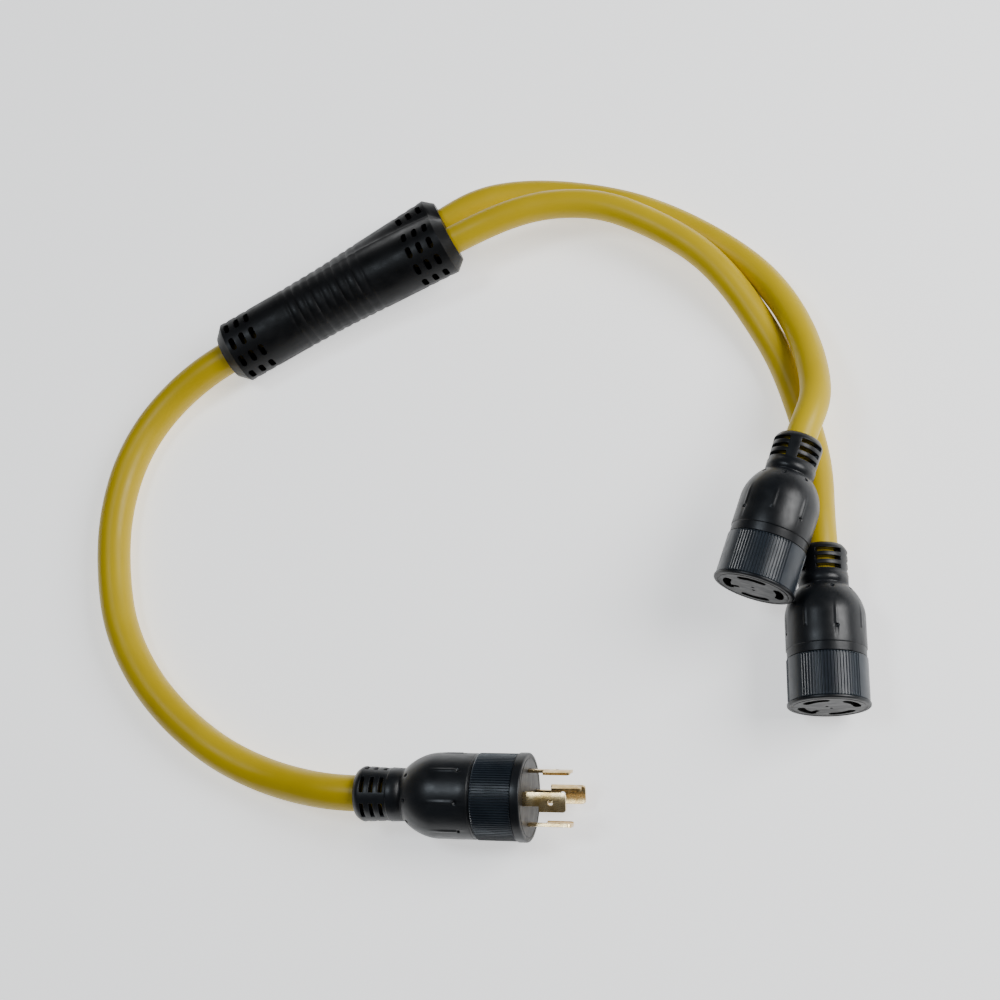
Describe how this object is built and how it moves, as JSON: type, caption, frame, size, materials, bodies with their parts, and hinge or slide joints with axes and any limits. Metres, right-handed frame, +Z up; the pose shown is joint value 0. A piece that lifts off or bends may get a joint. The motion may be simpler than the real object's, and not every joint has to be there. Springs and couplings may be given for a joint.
{
  "type": "y adapter cord",
  "caption": "Thick yellow power cord in a Y: a round locking plug with blades, a moulded black splitter and two round locking connectors.",
  "frame": {"origin": "middle of the housings' common bounding box, on the surface that the cord lies on", "axes": "+Z up from that surface; +X from the splitter's side towards the connectors' side; +Y from the plug's side towards the splitter's side"},
  "size_m": [0.426, 0.3776, 0.0628],
  "materials": {
    "black_pvc": "satin moulded vinyl",
    "grip_rubber": "finely ridged, dull",
    "yellow_pvc": "smooth vinyl jacket, soft gloss",
    "carrier_nylon": "smooth moulded nylon",
    "inner_mould": "natural first-shot mould",
    "brass": "stamped, lightly burnished",
    "tinned_copper": "tinned",
    "wire_black": "insulation",
    "wire_white": "insulation",
    "wire_red": "insulation",
    "wire_green": "insulation"
  },
  "bodies": {
    "splitter": {"splitter_body": "black_pvc", "splitter_inner_sleeve": "inner_mould", "splitter_hot_x_splice": "tinned_copper", "splitter_neutral_splice": "tinned_copper", "splitter_hot_y_splice": "tinned_copper", "splitter_ground_splice": "tinned_copper", "splitter_input_black_wire": "wire_black", "splitter_input_white_wire": "wire_white", "splitter_input_red_wire": "wire_red", "splitter_input_green_wire": "wire_green", "splitter_output_a_black_wire": "wire_black", "splitter_output_a_white_wire": "wire_white", "splitter_output_a_red_wire": "wire_red", "splitter_output_a_green_wire": "wire_green", "splitter_output_b_black_wire": "wire_black", "splitter_output_b_white_wire": "wire_white", "splitter_output_b_red_wire": "wire_red", "splitter_output_b_green_wire": "wire_green"},
    "input_lead": {"input_cord": "yellow_pvc"},
    "plug": {"plug_body": "black_pvc", "plug_grip_collar": "grip_rubber", "plug_face_insert": "carrier_nylon", "plug_inner_mould": "inner_mould", "plug_black_wire": "wire_black", "plug_white_wire": "wire_white", "plug_red_wire": "wire_red", "plug_green_wire": "wire_green", "plug_hot_x_blade": "brass", "plug_neutral_blade": "brass", "plug_hot_y_blade": "brass", "plug_ground_blade": "brass"},
    "output_leads": {"output_cord_a": "yellow_pvc", "output_cord_b": "yellow_pvc"},
    "connector_a": {"connector_a_body": "black_pvc", "connector_a_grip_collar": "grip_rubber", "connector_a_face_insert": "carrier_nylon", "connector_a_inner_mould": "inner_mould", "connector_a_black_wire": "wire_black", "connector_a_white_wire": "wire_white", "connector_a_red_wire": "wire_red", "connector_a_green_wire": "wire_green", "connector_a_hot_x_contact": "brass", "connector_a_neutral_contact": "brass", "connector_a_hot_y_contact": "brass", "connector_a_ground_contact": "brass"},
    "connector_b": {"connector_b_body": "black_pvc", "connector_b_grip_collar": "grip_rubber", "connector_b_face_insert": "carrier_nylon", "connector_b_inner_mould": "inner_mould", "connector_b_black_wire": "wire_black", "connector_b_white_wire": "wire_white", "connector_b_red_wire": "wire_red", "connector_b_green_wire": "wire_green", "connector_b_hot_x_contact": "brass", "connector_b_neutral_contact": "brass", "connector_b_hot_y_contact": "brass", "connector_b_ground_contact": "brass"}
  },
  "joints": [
    {"name": "input_lead_bend", "type": "hinge", "parent": "splitter", "child": "input_lead", "pos_m": [-0.1708, 0.1001, 0.0181], "axis": [0, 0, 1], "range_deg": [-12, 5], "stiffness_Nm_per_rad": 1, "deforming": ["input_cord"]},
    {"name": "plug_twist", "type": "hinge", "parent": "input_lead", "child": "plug", "pos_m": [-0.0829, -0.1556, 0.0209], "axis": [0.9976, -0.0663, 0.0175], "range_deg": [-20, 20], "stiffness_Nm_per_rad": 0.2},
    {"name": "output_leads_bend", "type": "hinge", "parent": "splitter", "child": "output_leads", "pos_m": [-0.03845, 0.16153, 0.0232], "axis": [0, 0, 1], "range_deg": [-5, 12], "stiffness_Nm_per_rad": 1, "deforming": ["output_cord_a", "output_cord_b"]},
    {"name": "connector_a_twist", "type": "hinge", "parent": "output_leads", "child": "connector_a", "pos_m": [0.1519, 0.0104, 0.0388], "axis": [-0.3286, -0.9435, 0.0436], "range_deg": [-20, 20], "stiffness_Nm_per_rad": 0.2},
    {"name": "connector_b_twist", "type": "hinge", "parent": "output_leads", "child": "connector_b", "pos_m": [0.1582, -0.0415, 0.01915], "axis": [-0.0157, -0.9995, 0.0262], "range_deg": [-20, 20], "stiffness_Nm_per_rad": 0.2}
  ]
}
